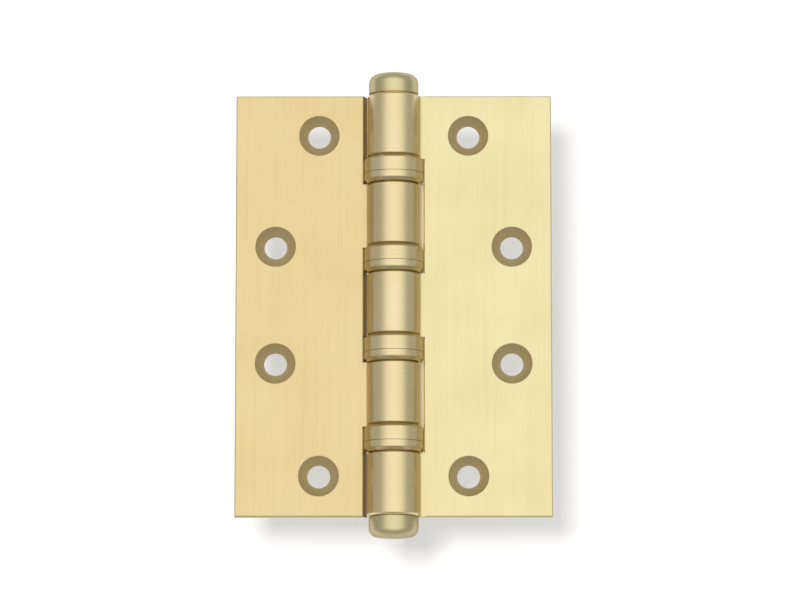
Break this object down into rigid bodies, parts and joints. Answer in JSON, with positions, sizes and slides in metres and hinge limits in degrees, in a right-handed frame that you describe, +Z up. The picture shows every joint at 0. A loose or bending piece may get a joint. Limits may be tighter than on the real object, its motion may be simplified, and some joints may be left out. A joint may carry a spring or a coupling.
{
  "type": "ball bearing butt hinge",
  "caption": "Square-cornered butt hinge with rolled knuckles, ball thrust bearings between them, a button-tipped pin and a zigzag of countersunk holes in each leaf.",
  "frame": {"origin": "on the pin's axis, halfway up the leaves", "axes": "+Z up along the pin, +X from the pin across the frame leaf with the hinge opened flat, -Y out of the countersunk faces"},
  "size_m": [0.076, 0.0142, 0.112],
  "materials": {
    "frame_leaf_brass": "satin",
    "door_leaf_brass": "satin",
    "barrel_brass": "satin",
    "ball_steel": "polished",
    "cage_brass": "stamped"
  },
  "bodies": {
    "frame_side": {"frame_leaf": "frame_leaf_brass", "pin": "barrel_brass", "bottom_tip": "barrel_brass", "bearing_1_casing": "barrel_brass", "bearing_2_race": "barrel_brass", "bearing_3_casing": "barrel_brass", "bearing_4_race": "barrel_brass"},
    "door_side": {"door_leaf": "door_leaf_brass", "bearing_1_race": "barrel_brass", "bearing_2_casing": "barrel_brass", "bearing_3_race": "barrel_brass", "bearing_4_casing": "barrel_brass"},
    "bearing_1_rollers": {"bearing_1_cage": "cage_brass", "bearing_1_balls": "ball_steel"},
    "bearing_2_rollers": {"bearing_2_cage": "cage_brass", "bearing_2_balls": "ball_steel"},
    "bearing_3_rollers": {"bearing_3_cage": "cage_brass", "bearing_3_balls": "ball_steel"},
    "bearing_4_rollers": {"bearing_4_cage": "cage_brass", "bearing_4_balls": "ball_steel"}
  },
  "joints": [
    {"name": "leaf_swing", "type": "hinge", "parent": "frame_side", "child": "door_side", "pos_m": [0, 0, 0], "axis": [0, 0, 1], "range_deg": [-120, 180]},
    {"name": "bearing_1_roll", "type": "hinge", "parent": "frame_side", "child": "bearing_1_rollers", "pos_m": [0, 0, 0], "axis": [0, 0, 1], "range_deg": [-60, 90]},
    {"name": "bearing_2_roll", "type": "hinge", "parent": "frame_side", "child": "bearing_2_rollers", "pos_m": [0, 0, 0], "axis": [0, 0, 1], "range_deg": [-60, 90]},
    {"name": "bearing_3_roll", "type": "hinge", "parent": "frame_side", "child": "bearing_3_rollers", "pos_m": [0, 0, 0], "axis": [0, 0, 1], "range_deg": [-60, 90]},
    {"name": "bearing_4_roll", "type": "hinge", "parent": "frame_side", "child": "bearing_4_rollers", "pos_m": [0, 0, 0], "axis": [0, 0, 1], "range_deg": [-60, 90]}
  ],
  "couplings": [
    {"joint": "bearing_1_roll", "follows": "leaf_swing", "ratio": 0.5},
    {"joint": "bearing_2_roll", "follows": "leaf_swing", "ratio": 0.5},
    {"joint": "bearing_3_roll", "follows": "leaf_swing", "ratio": 0.5},
    {"joint": "bearing_4_roll", "follows": "leaf_swing", "ratio": 0.5}
  ]
}
